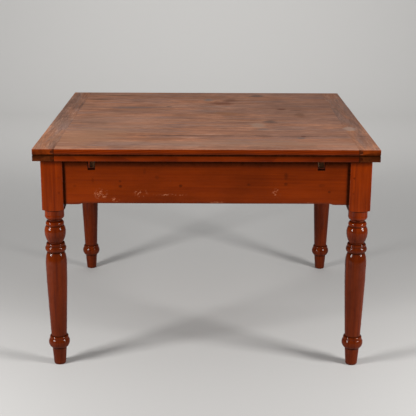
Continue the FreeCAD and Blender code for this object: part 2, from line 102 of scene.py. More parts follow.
def add_stage():
    """A plain pale floor that curves up into a backdrop, under an even pale surround."""
    world = bpy.data.worlds.new("surround")
    bpy.context.scene.world = world
    world.use_nodes = True
    background = world.node_tree.nodes["Background"]
    background.inputs["Color"].default_value = SURROUND
    background.inputs["Strength"].default_value = SURROUND_STRENGTH
    outline = [(-FLOOR_REACH, 0.0), (BEND_START, 0.0)]
    for step in range(1, BEND_STEPS + 1):
        angle = step / BEND_STEPS * math.pi / 2
        rise = BEND_RADIUS - BEND_RADIUS * math.cos(angle)
        outline.append((BEND_START + BEND_RADIUS * math.sin(angle), rise))
    outline.append((BEND_START + BEND_RADIUS, BACKDROP_TOP))
    vertices = [(side * FLOOR_REACH, y, z) for y, z in outline for side in (-1, 1)]
    faces = [(2 * n, 2 * n + 1, 2 * n + 3, 2 * n + 2) for n in range(len(outline) - 1)]
    mesh = bpy.data.meshes.new("floor")
    mesh.from_pydata(vertices, [], faces)
    mesh.polygons.foreach_set("use_smooth", [True] * len(faces))
    floor = bpy.data.objects.new("floor", mesh)
    bpy.context.scene.collection.objects.link(floor)
    floor.location.z = -FLOOR_DROP
    shader = Shader("pale_floor")
    shader.principled(Base_Color=FLOOR_COLOUR, Roughness=0.7, Specular_IOR_Level=0.2)
    mesh.materials.append(shader.material)


# Shader building


class Shader:
    """A material's node tree, built socket by socket."""

    def __init__(self, name):
        self.material = bpy.data.materials.new(name)
        self.material.use_nodes = True
        self.tree = self.material.node_tree
        self.tree.nodes.clear()

    def node(self, kind, settings=None, **sockets):
        """Adds a node. Sockets are set by name or by number as _0, _1 and so on."""
        made = self.tree.nodes.new("ShaderNode" + kind)
        for key, value in (settings or {}).items():
            setattr(made, key, value)
        for key, value in sockets.items():
            numbered = key[0] == "_"
            socket = made.inputs[int(key[1:]) if numbered else key.replace("_", " ")]
            self.feed(socket, value)
        return made

    def feed(self, socket, value):
        """Links an output or sets a constant."""
        if isinstance(value, bpy.types.NodeSocket):
            self.tree.links.new(value, socket)
        elif isinstance(value, (tuple, list)) and len(value) == 3 and socket.type == "RGBA":
            socket.default_value = (*value, 1)
        else:
            socket.default_value = value

    def math(self, operation, first, second=0.0, third=0.0, clamp=False):
        settings = {"operation": operation, "use_clamp": clamp}
        return self.node("Math", settings, _0=first, _1=second, _2=third).outputs[0]

    def vector(self, operation, first, second=(0, 0, 0)):
        made = self.node("VectorMath", {"operation": operation}, _0=first, _1=second)
        return made.outputs["Value"] if operation in ("LENGTH", "DOT_PRODUCT") else made.outputs[0]

    def join(self, x, y, z):
        return self.node("CombineXYZ", _0=x, _1=y, _2=z).outputs[0]

    def mix(self, factor, first, second, blend="MIX"):
        settings = {"data_type": "RGBA", "blend_type": blend}
        return self.node("Mix", settings, _0=factor, _6=first, _7=second).outputs[2]

    def blend_value(self, factor, first, second):
        return self.node("Mix", {"data_type": "FLOAT"}, _0=factor, _2=first, _3=second).outputs[0]

    def shade(self, colour, value):
        """A colour times a grey value."""
        return self.mix(1.0, colour, self.join(value, value, value), "MULTIPLY")

    def noise(self, place, scale, detail=3.0, rough=0.55):
        sockets = dict(Vector=place, Scale=scale, Detail=detail, Roughness=rough)
        return self.node("TexNoise", **sockets).outputs[0]

    def drawn_noise(self, place, along, across, detail, rough=0.55, scale=1.0):
        """Noise drawn out along the grain."""
        stretched = self.vector("MULTIPLY", place, (along, across, across))
        return self.noise(stretched, scale, detail, rough)

    def steps(self, value, low, high, start=0.0, end=1.0):
        """A smooth ramp from start to end while value goes from low to high."""
        settings = {"interpolation_type": "SMOOTHSTEP"}
        made = self.node("MapRange", settings, _0=value, _1=low, _2=high, _3=start, _4=end)
        return made.outputs[0]

    def attribute(self, name):
        return self.node("Attribute", {"attribute_name": name}).outputs["Fac"]

    def bump(self, height, distance, strength=1.0):
        sockets = dict(Strength=strength, Distance=distance, Height=height)
        return self.node("Bump", **sockets).outputs[0]

    def principled(self, **sockets):
        """The surface shader, its sockets by name, linked to the output."""
        surface = self.node("BsdfPrincipled", **sockets)
        self.node("OutputMaterial", Surface=surface.outputs[0])


# Wood. The grain is solid: growth rings about a pith line, so faces, edges and ends agree.

GRAIN_ORDER = {"X": (0, 1, 2), "Y": (1, 0, 2), "Z": (2, 0, 1)}
GRAIN_LINE = {"X": (1, 0, 0), "Y": (0, 1, 0), "Z": (0, 0, 1)}

LOOKS = {
    # early and late wood, ring spacing, how much rings and streaks show, varnish and its roughness,
    # the wood's own roughness, end grain's darkness
    "leg": dict(early=(0.1674, 0.0201, 0.0007), late=(0.0552, 0.0037, 0.0002), ring=3.2 * MM,
                rings=0.45, streaks=2.4, coat=0.62, coat_rough=0.08, rough=0.34, ends=0.9),
    "apron": dict(early=(0.1445, 0.0176, 0.0007), late=(0.0664, 0.0048, 0.0002), ring=3.2 * MM,
                  rings=0.10, streaks=1.1, coat=0.5, coat_rough=0.09, rough=0.36, ends=0.95),
    "edge": dict(early=(0.1454, 0.0176, 0.0007), late=(0.0637, 0.0050, 0.0003), ring=3.4 * MM,
                 rings=0.45, streaks=2.0, coat=0.5, coat_rough=0.12, rough=0.38, ends=0.5),
    "low_edge": dict(early=(0.1176, 0.0139, 0.0005), late=(0.0487, 0.0037, 0.0002), ring=3.4 * MM,
                     rings=0.45, streaks=2.0, coat=0.5, coat_rough=0.12, rough=0.38, ends=0.5),
    "end": dict(early=(0.165, 0.0250, 0.0020), late=(0.060, 0.0080, 0.0008), ring=3.0 * MM,
                rings=0.5, streaks=2.2, coat=0.4, coat_rough=0.16, rough=0.42, ends=0.0),
    "low_end": dict(early=(0.0666, 0.0141, 0.0026), late=(0.0296, 0.0052, 0.0009), ring=3.0 * MM,
                    rings=0.5, streaks=2.2, coat=0.3, coat_rough=0.2, rough=0.5, ends=0.0),
    "bare": dict(early=(0.400, 0.205, 0.090), late=(0.235, 0.100, 0.040), ring=3.8 * MM,
                 rings=0.55, streaks=1.8, coat=0, rough=0.72, ends=0.8),
    # A darker copy of the bare wood, for the centre board inside the table: painted shade.
    "inner": dict(early=(0.200, 0.075, 0.024), late=(0.110, 0.036, 0.011), ring=3.8 * MM,
                  rings=0.55, streaks=1.8, coat=0, rough=0.66, ends=0.8),
    "peg": dict(early=(0.125, 0.0150, 0.0012), late=(0.070, 0.0065, 0.0005), ring=1.6 * MM,
                rings=0.5, streaks=1.0, coat=0.3, coat_rough=0.2, rough=0.5, ends=0.0),
}
# The upper faces' faded, worn varnish; their pale grey also paints in the surround's sheen.
WORN_TOP_AND_SHEEN = dict(early=(0.470, 0.228, 0.146), late=(0.326, 0.146, 0.090))
WORN_END_AND_SHEEN = dict(early=(0.335, 0.182, 0.130), late=(0.235, 0.114, 0.077))
CUT_FIBRES = (0.24, 0.16, 0.12)  # end grain's share of the late wood's colour
CHIPPED = (0.035, 0.012, 0.004)
# Painted shade and old dirt: the dark colour that the shade_and_grime values mix towards.
SHADE_AND_DIRT = (0.014, 0.0035, 0.0008)
SCUFFED = (0.50, 0.20, 0.10)
WARM_PATCH = (0.50, 0.205, 0.105)
COLD_PATCH = (0.330, 0.200, 0.160)
DARK_DASH = (0.220, 0.092, 0.056)
PALE_DASH = (0.640, 0.345, 0.220)
VARNISH_IOR = 1.30
DULL_COAT = 0.12  # what is left of the varnish on the top's upper face
BARE_SPECULAR = 0.12
RELIEF_HEIGHT = 0.12 * MM
RIPPLE_HEIGHT = 0.08 * MM


def grain_coordinates(shader, grain, seed):
    """Places (along, across, through) in the grain, moved by the seed so no two boards match."""
    place = shader.node("TexCoord").outputs["Object"]
    split = shader.node("SeparateXYZ", _0=place).outputs
    along, across, through = (split[axis] for axis in GRAIN_ORDER[grain])
    return shader.join(shader.math("ADD", along, seed * 1.7), across, through), place


def growth_rings(shader, place, ring, pith, tilt, warp):
    """A value from 0 at the start of each year's wood to 1 at its end."""
    slow = shader.drawn_noise(place, 1.3, 7.0, 2.0)
    sway = shader.math("MULTIPLY_ADD", slow, warp, -warp / 2)
    quick = shader.drawn_noise(place, 9.0, 60.0, 2.0)
    shiver = shader.math("MULTIPLY_ADD", quick, warp / 14, -warp / 28)
    split = shader.node("SeparateXYZ", _0=place).outputs
    across = shader.math("MULTIPLY_ADD", split[0], tilt, split[1])
    across = shader.math("ADD", shader.math("SUBTRACT", across, pith[0]), sway)
    through = shader.math("ADD", shader.math("SUBTRACT", split[2], pith[1]), shiver)
    reach = shader.vector("LENGTH", shader.join(0, across, through))
    wander = shader.noise(shader.join(shader.math("MULTIPLY", reach, 55), 0, 0), 1.0, 1.0)
    years = shader.math("MULTIPLY_ADD", wander, 2.2, shader.math("DIVIDE", reach, ring))
    return shader.math("FRACT", years)


def blob(shader, world, place, size, ragged=2.2, frequency=34):
    """A soft ragged patch: place and size are (x, y, z); a size of 0 ignores that axis."""
    scale = tuple(1 / side if side else 0 for side in size)
    offset = shader.vector("MULTIPLY", shader.vector("SUBTRACT", world, place), scale)
    away = shader.vector("LENGTH", offset)
    ragged_place = shader.vector("MULTIPLY", world, (0.45, 1.0, 1.0))
    torn = shader.math("MULTIPLY_ADD", shader.noise(ragged_place, frequency, 5, 0.65), ragged, away)
    return shader.steps(torn, 0.35 + ragged / 2, 1.10 + ragged / 2, 1.0, 0.0)


def wood(name, look, grain, seed, pith=(0.06, -0.09), tilt=0.02, warp=0.010, marks=(),
         scuffs=(), worn=None, edge_wear=0.5):
    """One piece's wood: rings, fibres, broad streaks, stains, varnish, wear, dirt and painted
    shade.

    marks are (place, size, colour, strength) and scuffs (place, size), both in the table's frame.
    worn is the look of the dull upper face, faded varnish with a painted sheen in its pale grey.
    The mesh's arris and shade_and_grime values say where its edges are and where painted shade and
    dirt darken it.
    """
    tones = LOOKS[look]
    shader = Shader(name)
    place, world = grain_coordinates(shader, grain, seed)
    year = growth_rings(shader, place, tones["ring"], pith, tilt, warp)
    late = shader.math("MULTIPLY", shader.steps(year, 0.15, 0.86),
                       shader.steps(year, 0.93, 1.0, 1, 0))
    fibre = shader.drawn_noise(place, 14.0, 620.0, 3.0, 0.6)
    streak = shader.drawn_noise(place, 2.2, 62.0, 5.0, 0.68)
    cloud = shader.drawn_noise(place, 4.0, 9.0, 3.0, 0.6)
    grain_tone = shader.math("MULTIPLY", late, tones["rings"])
    fibre_tone = shader.math("MULTIPLY_ADD", fibre, 0.5, -0.25)
    streaks = tones["streaks"]
    streak_tone = shader.math("MULTIPLY_ADD", streak, streaks, 0.12 - streaks / 2)
    tone = shader.math("ADD", grain_tone, fibre_tone)
    tone = shader.math("ADD", tone, streak_tone, clamp=True)
    colour = shader.mix(tone, tones["early"], tones["late"])
    colour = shader.shade(colour, shader.steps(cloud, 0.30, 0.72, 0.80, 1.18))
    arris = shader.attribute("arris")
    worn_edge = shader.noise(world, 70, 4, 0.65)
    if worn is not None:
        colour = worn_surface_and_sheen(shader, colour, worn, tone, place, world, marks)
    else:
        colour = stained(shader, colour, world, marks)
    normal = shader.node("NewGeometry").outputs["Normal"]
    along = shader.math("ABSOLUTE", shader.vector("DOT_PRODUCT", normal, GRAIN_LINE[grain]))
    end_grain = shader.math("MULTIPLY", shader.steps(along, 0.5, 0.9), tones["ends"])
    cut_fibres = tuple(part * share for part, share in zip(tones["late"], CUT_FIBRES))
    colour = shader.mix(end_grain, colour, cut_fibres)
    rub = shader.math("MULTIPLY", arris, shader.steps(worn_edge, 0.46, 0.62, 0.0, edge_wear))
    rubbed = tuple(min(1, part * 1.35 + 0.02) for part in tones["early"])
    colour = shader.mix(rub, colour, rubbed)
    chipped = shader.math("MULTIPLY", arris, shader.steps(worn_edge, 0.30, 0.44, 0.5, 0.0))
    colour = shader.mix(chipped, colour, CHIPPED)
    uneven = shader.steps(worn_edge, 0.25, 0.6, 1.0, 0.82)
    # Mostly painted shade (shadows, recesses, creases, the gap under the top), with some dark
    # joints and seams.
    shade_and_dirt = shader.math("MULTIPLY", shader.attribute("shade_and_grime"), uneven)
    colour = shader.mix(shade_and_dirt, colour, SHADE_AND_DIRT)
    relief = shader.math("MULTIPLY_ADD", late, 0.5, shader.math("MULTIPLY", fibre, 0.5))
    bald = shader.math("MAXIMUM", end_grain, shader.steps(shade_and_dirt, 0.55, 0.95))
    if scuffs:
        scratches = scratched(shader, world, scuffs)
        colour = shader.mix(shader.math("MULTIPLY", scratches, 0.7), colour, SCUFFED)
        relief = shader.math("SUBTRACT", relief, shader.math("MULTIPLY", scratches, 2.0))
        bald = shader.math("MAXIMUM", bald, scratches)
    finish(shader, colour, relief, tones, cloud, worn_edge, bald, worn is not None)
    return shader.material


def scratched(shader, world, scuffs):
    """Short pale scratches inside soft patches."""
    area = 0.0
    for place, size in scuffs:
        area = shader.math("MAXIMUM", area, blob(shader, world, place, size, 0.9, 90))
    cells = shader.vector("MULTIPLY", world, (150, 150, 330))
    crossed = shader.node("TexVoronoi", {"feature": "DISTANCE_TO_EDGE"}, Vector=cells, Scale=1.0)
    lines = shader.steps(crossed.outputs["Distance"], 0.02, 0.10, 1.0, 0.0)
    broken = shader.steps(shader.noise(world, 130, 3), 0.50, 0.60)
    return shader.math("MULTIPLY", area, shader.math("MULTIPLY", lines, broken))


def stained(shader, colour, world, marks):
    """Colour with soft stains over it."""
    for place, size, stain, strength in marks:
        mask = shader.math("MULTIPLY", blob(shader, world, place, size), strength)
        colour = shader.mix(mask, colour, stain)
    return colour


def worn_surface_and_sheen(shader, varnish, worn, tone, place, world, marks):
    """The upper face's rubbed, greyed varnish with its streaks and stains; its pale grey is also a
    painted sheen of the surround.
    """
    faded_and_sheen = shader.mix(tone, worn["early"], worn["late"])
    broad = shader.drawn_noise(place, 1.8, 13.0, 5.0, 0.65)
    faded_and_sheen = shader.mix(shader.steps(broad, 0.40, 0.62), faded_and_sheen, WARM_PATCH)
    cold = shader.drawn_noise(place, 3.0, 21.0, 5.0, 0.62, 1.3)
    faded_and_sheen = shader.mix(shader.steps(cold, 0.50, 0.66, 0.0, 0.70), faded_and_sheen, COLD_PATCH)
    dash = shader.drawn_noise(place, 6.5, 52.0, 6.0, 0.7)
    faded_and_sheen = shader.mix(shader.steps(dash, 0.50, 0.68, 0.0, 0.62), faded_and_sheen, DARK_DASH)
    faded_and_sheen = shader.mix(shader.steps(dash, 0.48, 0.34, 0.0, 0.46), faded_and_sheen, PALE_DASH)
    grit = shader.drawn_noise(place, 26.0, 150.0, 4.0, 0.7)
    faded_and_sheen = shader.shade(faded_and_sheen, shader.steps(grit, 0.30, 0.70, 0.78, 1.22))
    ground = shader.noise(world, 5.5, 3)
    faded_and_sheen = shader.shade(faded_and_sheen, shader.steps(ground, 0.35, 0.68, 0.86, 1.12))
    return shader.mix(facing_up(shader), varnish, stained(shader, faded_and_sheen, world, marks))


def facing_up(shader):
    """1 on upper faces, fading out round their arrises."""
    normal = shader.node("NewGeometry").outputs["Normal"]
    return shader.steps(shader.vector("DOT_PRODUCT", normal, (0, 0, 1)), 0.45, 0.9)


def finish(shader, colour, relief, tones, cloud, worn_edge, bald, dull_top):
    """Varnish over the wood: a coat with its own slow ripple, none on bald places."""
    rough = shader.steps(cloud, 0.3, 0.7, tones["rough"] * 0.85, tones["rough"] * 1.2)
    coat = shader.steps(worn_edge, 0.36, 0.5, tones["coat"] * 0.75, tones["coat"])
    if dull_top:
        upper = facing_up(shader)
        dull = shader.steps(worn_edge, 0.35, 0.65, 0.40, 0.56)
        rough = shader.blend_value(upper, rough, dull)
        coat = shader.blend_value(upper, coat, DULL_COAT)
    normal = shader.bump(relief, RELIEF_HEIGHT, 0.6)
    surface = dict(Base_Color=colour, Roughness=rough, Normal=normal)
    if not tones["coat"]:
        shader.principled(**surface, Specular_IOR_Level=BARE_SPECULAR)
        return
    ripple = shader.noise(shader.node("TexCoord").outputs["Object"], 38, 2, 0.5)
    shader.principled(
        **surface, Specular_IOR_Level=0.0, Coat_IOR=VARNISH_IOR,
        Coat_Weight=shader.math("MULTIPLY", coat, shader.math("SUBTRACT", 1.0, bald)),
        Coat_Roughness=tones["coat_rough"], Coat_Normal=shader.bump(ripple, RIPPLE_HEIGHT, 0.5),
    )


def dark_steel():
    """Old screws: dark oxidised steel with brown in it."""
    shader = Shader("dark_steel")
    patches = shader.noise(shader.node("TexCoord").outputs["Object"], 420, 4, 0.6)
    brown = shader.steps(patches, 0.40, 0.62)
    shader.principled(
        Base_Color=shader.mix(brown, (0.10, 0.095, 0.09), (0.085, 0.042, 0.022)), Metallic=0.9,
        Roughness=shader.steps(patches, 0.35, 0.65, 0.36, 0.62),
        Normal=shader.bump(patches, 0.05 * MM),
    )
    return shader.material


# Swept pieces

ARC_STEPS = 5
SPACING = 9 * MM  # between rings, and between the points of a section's sides
CAP_INSET = 1.0 * MM
CAP_PROFILE = ((0.0, 1.0), (0.29, 0.293), (1.0, 0.0))  # rise and inset in shares of the end's arris
LEAST_ARRIS = 0.12 * MM
LEAST_CAP_ARRIS = 0.15 * MM
SHARP_ANGLE = math.radians(38)


def flutter(*values):
    """Smooth noise from -1 to 1."""
    return noise.noise(Vector(values))


def smooth_step(share):
    """0 to 1 with level ends."""
    share = min(max(share, 0.0), 1.0)
    return share * share * (3 - 2 * share)


def near(distance, reach, fade):
    """1 near a place, down to 0 at its reach over the length fade, both in millimetres."""
    return smooth_step((reach * MM - distance) / (fade * MM))


def offset_corners(corners, inset):
    """The outline's corners moved inwards. Corners run anticlockwise."""
    moved = []
    count = len(corners)
    for number, (a, b, radius) in enumerate(corners):
        before, after = corners[number - 1], corners[(number + 1) % count]
        entry = Vector((a - before[0], b - before[1])).normalized()
        leave = Vector((after[0] - a, after[1] - b)).normalized()
        first, second = Vector((-entry.y, entry.x)), Vector((-leave.y, leave.x))
        shift = (first + second) / (1 + first.dot(second))
        smaller = max(radius - inset, LEAST_CAP_ARRIS)
        moved.append((a + shift.x * inset, b + shift.y * inset, smaller))
    return moved


def outline_points(corners, counts):
    """Points round an outline: (position, outward normal, arris weight)."""
    points = []
    number_of = len(corners)
    for number, (a, b, radius) in enumerate(corners):
        before, after = corners[number - 1], corners[(number + 1) % number_of]
        corner = Vector((a, b))
        entry = (corner - Vector(before[:2])).normalized()
        leave = (Vector(after[:2]) - corner).normalized()
        start, end = corner - entry * radius, corner + leave * radius
        outward = Vector((entry.y, -entry.x)), Vector((leave.y, -leave.x))
        convex = entry.cross(leave) > 0
        for step in range(ARC_STEPS):
            share = step / (ARC_STEPS - 1)
            angle = share * math.pi / 2
            normal = outward[0] * math.cos(angle) + outward[1] * math.sin(angle)
            centre = corner - entry * radius + leave * radius
            position = centre + (normal if convex else -normal) * radius
            points.append((position, normal, math.sin(share * math.pi) if convex else 0.0))
        following = after[2]
        finish_point = Vector(after[:2]) - leave * following
        for step in range(1, counts[number]):
            share = step / counts[number]
            points.append((end.lerp(finish_point, share), outward[1], 0.0))
    return points


def outline_counts(corners):
    """How many spans each straight side of an outline is divided into."""
    counts = []
    for number, corner in enumerate(corners):
        after = corners[(number + 1) % len(corners)]
        length = (Vector(after[:2]) - Vector(corner[:2])).length
        counts.append(max(1, round(length / (SPACING * FINE))))
    return counts


def stations(low, high, extra):
    """Places along a piece, with extra ones where its shape changes."""
    count = max(2, round((high - low) / (SPACING * FINE)))
    places = {low + (high - low) * step / count for step in range(count + 1)}
    kept = [place for place in places if all(abs(place - other) > 1.5 * MM for other in extra)]
    return sorted(kept + [place for place in extra if low < place < high])


def to_world(grain, along, a, b):
    """A point from its place along the grain and its place (a, b) in the section."""
    if grain == "X":
        return Vector((along, a, b))
    if grain == "Y":
        return Vector((-a, along, b))
    return Vector((a, b, along))


def sweep(grain, low, high, corners_at, seed, shade_and_dirt, arris=1.4 * MM, end_arris=0, extra=(),
          wave=0.10 * MM, nicks=1.0):
    """The vertices, faces and per-vertex values of a section swept along the grain.

    corners_at(place) gives the section's corners (a, b, arris share). The arrises vary along the
    piece, faces have a slow ripple and the arrises have small nicks. shade_and_dirt(vertex) says
    how much painted shade and dirt darken a place.
    """
    places = stations(low, high, extra)
    counts = outline_counts(corners_at(places[0]))
    caps = [(0, 0)]
    if end_arris:
        places = [p for p in places if min(abs(p - low), abs(p - high)) > end_arris * 1.4]
        caps = [(end_arris * rise, end_arris * inset) for rise, inset in CAP_PROFILE]
    first = [(low + rise, inset) for rise, inset in caps]
    last = [(high - rise, inset) for rise, inset in caps]
    between = [(p, 0) for p in places if first[-1][0] < p < last[-1][0]]
    section = (corners_at, counts, seed, arris, wave, nicks)
    rings = [ring_points(*place, *section) for place in first + between + last[::-1]]
    if end_arris:
        inner = [ring_points(place, inset + CAP_INSET, *section, plain=True)
                 for place, inset in (first[0], last[0])]
        rings = [inner[0], *rings, inner[1]]
    return rings_to_mesh(grain, rings, shade_and_dirt)


def ring_points(place, inset, corners_at, counts, seed, arris, wave, nicks, plain=False):
    """One ring of a sweep: its place, and for each point its position and arris value."""
    corners = []
    for number, (a, b, share) in enumerate(corners_at(place)):
        vary = 1 + 0.45 * flutter(place * 6, seed * 3.1, number * 7.7)
        corners.append((a, b, max(arris * share * vary, LEAST_ARRIS)))
    if inset:
        corners = offset_corners(corners, inset)
    points = []
    for position, normal, weight in outline_points(corners, counts):
        push = wave * flutter(place * 5, position.x * 16 + seed, position.y * 16)
        dent = max(0.0, flutter(place * 55, seed * 5.3, position.x * 3) - 0.34) * weight * nicks
        push -= dent * 2.2 * MM
        if inset:
            push = 0
        points.append((position + normal * min(push, 0), 0.0 if plain else weight))
    return place, points


def rings_to_mesh(grain, rings, shade_and_dirt):
    """Joins rings of points into faces, with caps at both ends."""
    vertices, arris = [], []
    for place, points in rings:
        for position, weight in points:
            vertices.append(to_world(grain, place, position.x, position.y))
            arris.append(weight)
    size = len(rings[0][1])
    faces = []
    for ring in range(len(rings) - 1):
        for step in range(size):
            here, there = ring * size + step, ring * size + (step + 1) % size
            faces.append((here, here + size, there + size, there))
    faces.append(tuple(range(size)))
    faces.append(tuple(range((len(rings) - 1) * size, len(rings) * size))[::-1])
    return vertices, faces, arris, [shade_and_dirt(vertex) for vertex in vertices]


def tube_faces(start, rings, size):
    """Faces that join rings of size points, numbered from start, with a cap at both ends."""
    faces = []
    for ring in range(rings - 1):
        for step in range(size):
            here = start + ring * size + step
            there = start + ring * size + (step + 1) % size
            faces.append((here, there, there + size, here + size))
    last = start + (rings - 1) * size
    return faces + [tuple(range(start, start + size)), tuple(range(last, last + size))]


def build_mesh(name, parts):
    """One mesh from one or more parts: vertices, faces, then arris and shade_and_grime values
    (painted shade and dirt).
    """
    vertices, faces, arris, shade_and_grime = [], [], [], []
    for part in parts:
        shift = len(vertices)
        vertices += part[0]
        faces += [tuple(index + shift for index in face) for face in part[1]]
        arris += part[2]
        shade_and_grime += part[3]
    mesh = bpy.data.meshes.new(name)
    mesh.from_pydata(vertices, [], faces)
    for label, values in (("arris", arris), ("shade_and_grime", shade_and_grime)):
        attribute = mesh.attributes.new(label, "FLOAT", "POINT")
        attribute.data.foreach_set("value", values)
    work = bmesh.new()
    work.from_mesh(mesh)
    bmesh.ops.recalc_face_normals(work, faces=work.faces)
    work.to_mesh(mesh)
    work.free()
    return mesh


def add_piece(name, node, body, material, parts):
    """Builds a piece's mesh, hangs it on its body and hides the node it replaces."""
    mesh = build_mesh(name, parts)
    mesh.materials.append(material)
    mesh.polygons.foreach_set("use_smooth", [True] * len(mesh.polygons))
    mesh.set_sharp_from_angle(angle=SHARP_ANGLE)
    thing = bpy.data.objects.new(name, mesh)
    bpy.context.scene.collection.objects.link(thing)
    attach(thing, body)
    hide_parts(node)


def rectangle(low_a, low_b, high_a, high_b, shares=(1, 1, 1, 1)):
    """The corners of a rectangle, anticlockwise from the lowest, each with its arris share."""
    places = ((low_a, low_b), (high_a, low_b), (high_a, high_b), (low_a, high_b))
    return [(a, b, share) for (a, b), share in zip(places, shares)]


# Tabletop and leaves

END_WIDTH = 72 * MM
BOARD_ARRIS = 1.8 * MM
END_ARRIS = 1.5 * MM
TONGUE = 12 * MM
TONGUE_THICK = 7 * MM
TONGUE_EASE = 0.2 * MM  # in from the board's edges, and short of the groove's floor
TONGUE_DIRT = 0.8
GROOVE_EASE = 0.15 * MM
FREE = 1.0
GLUED = 0.16  # a glued edge keeps only a hairline ease
TONGUED = 0.2
GROOVED = 0.1
OUTER_EDGE = 564 * MM
GAP_SIDE = 1.75  # the arrises that face each other between the top and the leaf are more worn


def gap_shade(vertex, body, low, high):
    """Painted shade where the top and the leaves meet at their outer edges."""
    from_gap = vertex.z - low.z if body == "top" else high.z - vertex.z
    edge = max(abs(vertex.x), abs(vertex.y))
    return smooth_step((edge - OUTER_EDGE) / (4 * MM)) * near(from_gap, 4.2, 2.1)


def make_board(node, body, material, front_free, back_free, seed):
    """A board along X with its tongues. An outer edge has a full arris, a glued one a hairline."""
    low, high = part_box(node)
    front, back = (FREE if front_free else GLUED), (FREE if back_free else GLUED)
    low_x, high_x = low.x + TONGUE, high.x - TONGUE
    under, over = (GAP_SIDE, 1.0) if body == "top" else (1.0, GAP_SIDE)
    shares = (front * under, back * under, back * over, front * over)
    corners = rectangle(low.y, low.z, high.y, high.z, shares)
    parts = [sweep("X", low_x, high_x, lambda place: corners, seed,
                   lambda vertex: gap_shade(vertex, body, low, high), arris=BOARD_ARRIS)]
    middle = (low.z + high.z) / 2
    tongue = rectangle(low.y + TONGUE_EASE, middle - TONGUE_THICK / 2, high.y - TONGUE_EASE,
                       middle + TONGUE_THICK / 2, (TONGUED,) * 4)
    for start, end in ((low.x, low_x), (high_x, high.x)):
        parts.append(sweep("X", start, end, lambda place: tongue, seed,
                           lambda vertex: TONGUE_DIRT, nicks=0))
    add_piece(node + "_worn", node, body, material, parts)


def make_breadboard_end(node, body, material, seed):
    """A piece along Y, grooved along its inner edge for the boards' tongues."""
    low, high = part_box(node)
    middle = (low.z + high.z) / 2
    half = TONGUE_THICK / 2 + GROOVE_EASE
    groove_low, groove_high = middle - half, middle + half
    half_width = max(abs(low.x), abs(high.x))
    groove = TONGUE + TONGUE_EASE
    # The section's own a runs towards -X, so a left-hand end has its groove at low a.
    low_a, high_a = -high.x, -low.x
    if (low.x + high.x) / 2 < 0:
        corners = [
            (low_a, low.z, GLUED), (high_a, low.z, FREE), (high_a, high.z, FREE),
            (low_a, high.z, GLUED), (low_a, groove_high, GROOVED),
            (low_a + groove, groove_high, GROOVED), (low_a + groove, groove_low, GROOVED),
            (low_a, groove_low, GROOVED),
        ]
    else:
        corners = [
            (low_a, low.z, FREE), (high_a, low.z, GLUED), (high_a, groove_low, GROOVED),
            (high_a - groove, groove_low, GROOVED), (high_a - groove, groove_high, GROOVED),
            (high_a, groove_high, GROOVED), (high_a, high.z, GLUED), (low_a, high.z, FREE),
        ]

    def shade_and_dirt(vertex):
        """Dark at the seams on its end grain, and painted shade where the top and the leaves meet.
        """
        seam = 0.0
        if abs(vertex.y) > OUTER_EDGE:
            seam = 0.85 * near(abs(vertex.x) - (half_width - END_WIDTH), 4.8, 2.4)
        return max(gap_shade(vertex, body, low, high), seam)

    part = sweep("Y", low.y, high.y, lambda place: corners, seed, shade_and_dirt, arris=BOARD_ARRIS,
                 end_arris=END_ARRIS)
    add_piece(node + "_worn", node, body, material, [part])


TOP_MARKS = [
    # place, size from its middle, colour, strength
    ((0.46, 0.20), (0.42, 0.62), (0.215, 0.115, 0.085), 0.34),
    ((0.36, -0.38), (0.52, 0.20), (0.250, 0.125, 0.086), 0.30),
    ((-0.34, -0.10), (0.26, 0.22), (0.50, 0.270, 0.180), 0.35),
    ((-0.44, 0.395), (0.075, 0.010), (0.075, 0.038, 0.020), 0.9),
    ((-0.36, 0.49), (0.080, 0.012), (0.13, 0.070, 0.038), 0.7),
    ((0.215, 0.49), (0.042, 0.024), (0.065, 0.065, 0.060), 0.75),
    ((0.06, 0.30), (0.085, 0.045), (0.235, 0.075, 0.034), 0.85),
    ((0.10, 0.37), (0.035, 0.050), (0.20, 0.072, 0.040), 0.7),
    ((0.01, 0.39), (0.022, 0.030), (0.20, 0.19, 0.17), 0.6),
    ((0.295, 0.17), (0.026, 0.024), (0.16, 0.045, 0.022), 0.8),
    ((0.36, 0.155), (0.030, 0.016), (0.15, 0.075, 0.050), 0.6),
    ((0.08, 0.075), (0.055, 0.036), (0.36, 0.15, 0.070), 0.75),
    ((0.36, 0.055), (0.022, 0.070), (0.21, 0.090, 0.048), 0.6),
    ((0.235, -0.09), (0.032, 0.036), (0.13, 0.075, 0.058), 0.7),
    ((0.19, -0.15), (0.034, 0.060), (0.47, 0.33, 0.24), 0.45),
    ((0.20, -0.225), (0.026, 0.016), (0.15, 0.14, 0.13), 0.6),
    ((0.515, -0.23), (0.024, 0.050), (0.52, 0.42, 0.35), 0.4),
    ((0.335, -0.355), (0.010, 0.010), (0.15, 0.030, 0.015), 0.8),
    ((0.325, -0.385), (0.016, 0.014), (0.14, 0.125, 0.115), 0.7),
    ((0.05, -0.350), (0.52, 0.009), (0.12, 0.060, 0.045), 0.85),
    ((-0.40, -0.36), (0.17, 0.16), (0.46, 0.235, 0.135), 0.55),
    ((-0.20, -0.40), (0.16, 0.030), (0.30, 0.120, 0.062), 0.6),
    ((0.10, -0.47), (0.50, 0.055), (0.42, 0.235, 0.150), 0.45),
    ((-0.42, -0.12), (0.08, 0.040), (0.25, 0.125, 0.080), 0.5),
    ((-0.15, 0.225), (0.016, 0.014), (0.10, 0.075, 0.06), 0.6),
    ((-0.30, 0.20), (0.10, 0.035), (0.19, 0.135, 0.12), 0.5),
]
TOP_SEEDS = {"top_board_1": 3.1, "top_board_2": 7.4, "top_board_3": 12.9, "top_board_4": 18.3}


